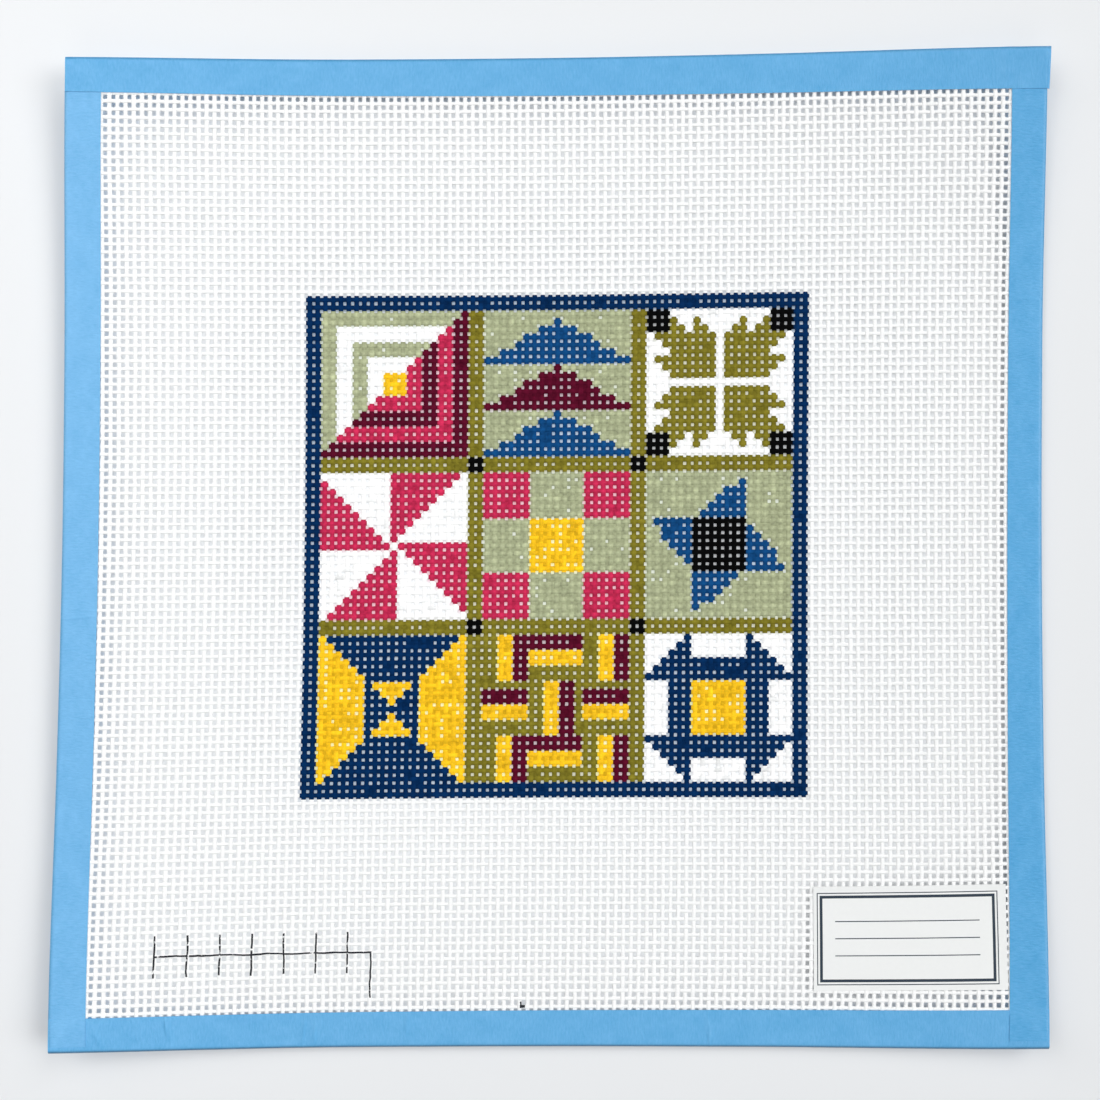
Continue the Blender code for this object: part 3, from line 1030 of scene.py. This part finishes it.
def two_sides(top, low):
    """Faces of a thin sheet's sides, from grids of vertex numbers, and their places in the bake map."""
    rows, columns = top.shape
    down, across = np.meshgrid(np.linspace(*MAP_ENDS, rows), np.linspace(0, 1, columns), indexing="ij")
    for side, (start, share), turn in ((top, UPPER_SIDE, 1), (low, LOWER_SIDE, -1)):
        cells = np.stack([side[:-1, :-1], side[1:, :-1], side[1:, 1:], side[:-1, 1:]], -1)[..., ::turn]
        faces = cells.reshape(-1, 4)
        flat = np.tile(np.stack([down, start + share * across], -1).reshape(-1, 2), (2, 1))
        yield faces, flat[faces]


def four_rims(top, low):
    """Faces that join the two sides along each edge, and their places in the bake map."""
    rims = (
        (top[0], low[0], 1),
        (top[-1], low[-1], -1),
        (top[:, -1], low[:, -1], 1),
        (top[:, 0], low[:, 0], -1),
    )
    for k, (upper_line, lower_line, turn) in enumerate(rims):
        faces = np.stack([upper_line[:-1], upper_line[1:], lower_line[1:], lower_line[:-1]], -1)[:, ::turn]
        place = np.linspace(*MAP_ENDS, len(upper_line))
        x = np.stack([place[:-1], place[1:], place[1:], place[:-1]], -1)[:, ::turn]
        y = (FIRST_RIM + RIM_STEP * k + RIM_WIDE * np.array([0, 0, 1, 1]))[::turn]
        yield faces, np.stack([x, np.broadcast_to(y, x.shape)], -1)


def thin_sheet(name, upper, lower, map_name, metres, surface):
    """Closed mesh between the two sides of a thin sheet, which are grids of points."""
    rows, columns = upper.shape[:2]
    top = np.arange(rows * columns).reshape(rows, columns)
    parts = [*two_sides(top, top + top.size), *four_rims(top, top + top.size)]
    faces, bake = (np.concatenate(kind) for kind in zip(*parts))
    mesh = bpy.data.meshes.new(name)
    mesh.from_pydata(np.concatenate([upper.reshape(-1, 3), lower.reshape(-1, 3)]), [], faces.tolist())
    metres = np.tile(metres.reshape(-1, 2), (2, 1))
    for title, values in (("OFBake", bake), (map_name, metres[faces])):
        mesh.uv_layers.new(name=title).uv.foreach_set("vector", values.astype(np.float32).ravel())
    mesh.shade_smooth()
    mesh.set_sharp_from_angle(angle=math.radians(50))
    mesh.materials.append(surface)
    made = linked(name, mesh)
    face_outwards(made)
    return made


def face_outwards(piece):
    """Turn a closed mesh's faces out if its volume comes out negative."""
    mesh = piece.data
    mesh.calc_loop_triangles()
    points = np.array([v.co for v in mesh.vertices])
    corners = np.array([t.vertices for t in mesh.loop_triangles])
    a, b, c = (points[corners[:, k]] for k in range(3))
    if np.einsum("ij,ij->i", a, np.cross(b, c)).sum() < 0:
        mesh.flip_normals()


def over_neighbours(*edges):
    """How far a strip is raised over its neighbours. Past each place, in its direction and after a ramp of
    its length, it is raised by a lap's thickness."""

    def lift(along):
        steps = [smooth_step(way * (along - place), 0, length) for place, way, length in edges]
        return LAP * sum(steps, 0 * along)

    return lift


def tapes():
    """Bottom strip first, then the sides over it, and the top strip last."""
    left_in = float(tape_line("left", "inner", HALF_HEIGHT))
    right_in = float(tape_line("right", "inner", HALF_HEIGHT))
    low_left = float(tape_line("bottom", "inner", -HALF_WIDTH))
    low_right = float(tape_line("bottom", "inner", HALF_WIDTH))
    left_end = float(tape_line("left", "outer", -HALF_HEIGHT)) + END_GAP
    right_end = float(tape_line("right", "outer", -HALF_HEIGHT)) - END_GAP
    bottom_creases = (
        (-0.1105, 0.0005, 0.00022, -0.5, 0.0035, 0.0020),
        (-0.0945, 0.0004, 0.00030, -0.15, 0.0062, 0.0020),
        (-0.0936, 0.0004, 0.00018, -0.15, 0.0050, 0.0022),
        (-0.0612, 0.0004, 0.00020, 0.1, 0.0040, 0.0025),
        (-0.0585, 0.0005, 0.00015, 0.0, 0.0035, 0.0022),
        (-0.0357, 0.0005, 0.00016, 0.1, 0.0060, 0.0022),
        (0.0393, 0.0004, 0.00018, -0.1, 0.0035, 0.0028),
    )
    paper = {node: tape_surface(f"{node}_crepe", **look) for node, look in TAPE_PAINTED_LIGHT.items()}
    side_ends = (SIDE_LOW_END, SIDE_TOP_END)
    over_top = over_neighbours((left_in + 0.001, -1, LAP_RAMP), (right_in - 0.0005, 1, TOP_RIGHT_RAMP))
    return {
        "tape_bottom": folded_tape(
            "tape_bottom_crepe", "bottom", (left_end, right_end), over_neighbours(), bottom_creases, 3,
            paper["tape_bottom"], droop=BOTTOM_DROOP,
        ),
        "tape_left": folded_tape(
            "tape_left_crepe", "left", side_ends, over_neighbours((low_left, -1, LAP_RAMP)),
            ((-0.0165, 0.0004, 0.00008, 0.1, 0.004, 0.004),), 4, paper["tape_left"],
        ),
        "tape_right": folded_tape(
            "tape_right_crepe", "right", side_ends, over_neighbours((low_right, -1, LAP_RAMP)),
            ((0.062, 0.0006, 0.00005, 0.1, 0.004, 0.004),), 5, paper["tape_right"],
        ),
        "tape_top": folded_tape(
            "tape_top_crepe", "top", (TOP_LEFT_END, TOP_TAB_END), over_top,
            ((right_in - 0.001, 0.0016, 0.0002, 0.0, 0.004, 0.005),), 6, paper["tape_top"],
            slant=TAB_SLANT, pinch_from=PINCH_START,
        ),
    }


STICKER_COLUMNS = 48
STICKER_ROWS = 26
STICKER_LEVEL = MIDDLE + SHEET_HALF + 0.00003
STICKER_WAVE = 0.00002
STICKER_CORNER_LIFT = 0.00018


def sticker(surface):
    """Thin paper rectangle on the face, with a slight wave and lifted corners."""
    across = np.linspace(-0.5, 0.5, STICKER_COLUMNS + 1) * STICKER_WIDTH
    up = np.linspace(-0.5, 0.5, STICKER_ROWS + 1) * STICKER_HEIGHT
    across, up = np.meshgrid(across, up, indexing="ij")
    corner = (np.abs(across) / (STICKER_WIDTH / 2)) ** 6 * (np.abs(up) / (STICKER_HEIGHT / 2)) ** 6
    wave = STICKER_WAVE * np.sin(across * 310 + 1) * np.cos(up * 420)
    level = STICKER_LEVEL + wave + STICKER_CORNER_LIFT * corner
    u, v = sticker_point(across, up)
    sides = [placed(u, v, level + thick) for thick in (PAPER_THICK, 0)]
    return thin_sheet("sticker_paper_sheet", *sides, "sticker", np.stack([across, up], -1), surface)


# Stage, light and camera

FLOOR_REACH = 1.3
FLOOR_CORNERS = 96
WORLD_COLOUR = (0.97, 0.985, 1.0, 1)
WORLD_LIGHT = 0.03
WORLD_SEEN = 0.8

# Soft boxes: direction in degrees from +X and from overhead, distance, size and power
LIGHTS = {
    "overhead_box": (150, 17, 1.5, 1.8, 11.8),
    "window_left": (148, 48, 0.75, 0.6, 1.4),
    "window_right": (0, 46, 4.5, 2.4, 90),
    "window_far_right": (50, 46, 4.5, 2.4, 54),
    "window_front": (275, 52, 4.5, 2.4, 17),
}


def make_stage():
    """Round pale floor."""
    mesh = bpy.data.meshes.new("floor")
    turns = [2 * math.pi * k / FLOOR_CORNERS for k in range(FLOOR_CORNERS)]
    corners = [(FLOOR_REACH * math.cos(turn), FLOOR_REACH * math.sin(turn), 0) for turn in turns]
    mesh.from_pydata(corners, [], [tuple(range(FLOOR_CORNERS))])
    mesh.materials.append(floor_surface())
    linked("floor", mesh)


def area_light(name, azimuth, tilt, distance, size, power):
    """Round soft box aimed at the middle."""
    turn, lean = math.radians(azimuth), math.radians(tilt)
    towards = Vector((math.cos(turn) * math.sin(lean), math.sin(turn) * math.sin(lean), math.cos(lean)))
    data = bpy.data.lights.new(name, "AREA")
    data.shape = "DISK"
    data.size = size
    data.energy = power
    made = linked(name, data)
    made.location = distance * towards
    made.rotation_euler = (-towards).to_track_quat("-Z", "Y").to_euler()


def make_lights():
    """Soft boxes and a world that shows as a pale backdrop and gives little light."""
    world = bpy.data.worlds.new("soft_studio")
    world.use_nodes = True
    tree = world.node_tree
    background = tree.nodes["Background"]
    background.inputs["Color"].default_value = WORLD_COLOUR
    seen = add(tree, "ShaderNodeLightPath").outputs["Is Camera Ray"]
    tree.links.new(span(tree, seen, 0, 1, WORLD_LIGHT, WORLD_SEEN), background.inputs["Strength"])
    bpy.context.scene.world = world
    for name, numbers in LIGHTS.items():
        area_light(name, *numbers)
    bpy.context.scene.view_settings.view_transform = "Standard"


# Camera as it stood over the table: height, field of view and small tilts
CAMERA_HEIGHT = 0.300
CAMERA_ASIDE = (-0.00165, -0.00019)
TILT_X = math.radians(-1.391)
TILT_Y = math.radians(-0.564)
ROLL = math.radians(0.390)
FOCAL_SHARE = 1.0799
SENSOR = 36.0


def make_camera():
    data = bpy.data.cameras.new("camera")
    data.sensor_width = SENSOR
    data.lens = SENSOR * FOCAL_SHARE
    data.clip_start = 0.01
    made = linked("camera", data)
    turn = Matrix.Rotation(TILT_Y, 3, "Y") @ Matrix.Rotation(TILT_X, 3, "X") @ Matrix.Rotation(ROLL, 3, "Z")
    back = turn.transposed()
    made.location = back @ Vector((*CAMERA_ASIDE, CAMERA_HEIGHT)) + Vector(SHIFT)
    made.rotation_euler = back.to_euler()
    bpy.context.scene.camera = made


def main():
    make_stage()
    make_lights()
    make_camera()
    plain_thread = thread_surface("canvas_thread_painted", False)
    inked_thread = thread_surface("canvas_thread_inked", True)
    upright = Threads(True, 11)
    crosswise = Threads(False, 12)
    thread = [inked_thread] + [plain_thread] * (BANDS - 1)
    bands = [weave_band(k, upright, crosswise, thread[k]) for k in range(BANDS)]
    for band in bands:
        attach(band, "root")
        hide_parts("canvas")
    strips = tapes()
    for node, strip in strips.items():
        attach(strip, "root")
        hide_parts(node)
    paper = sticker(sticker_surface())
    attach(paper, "root")
    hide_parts("sticker")


main()
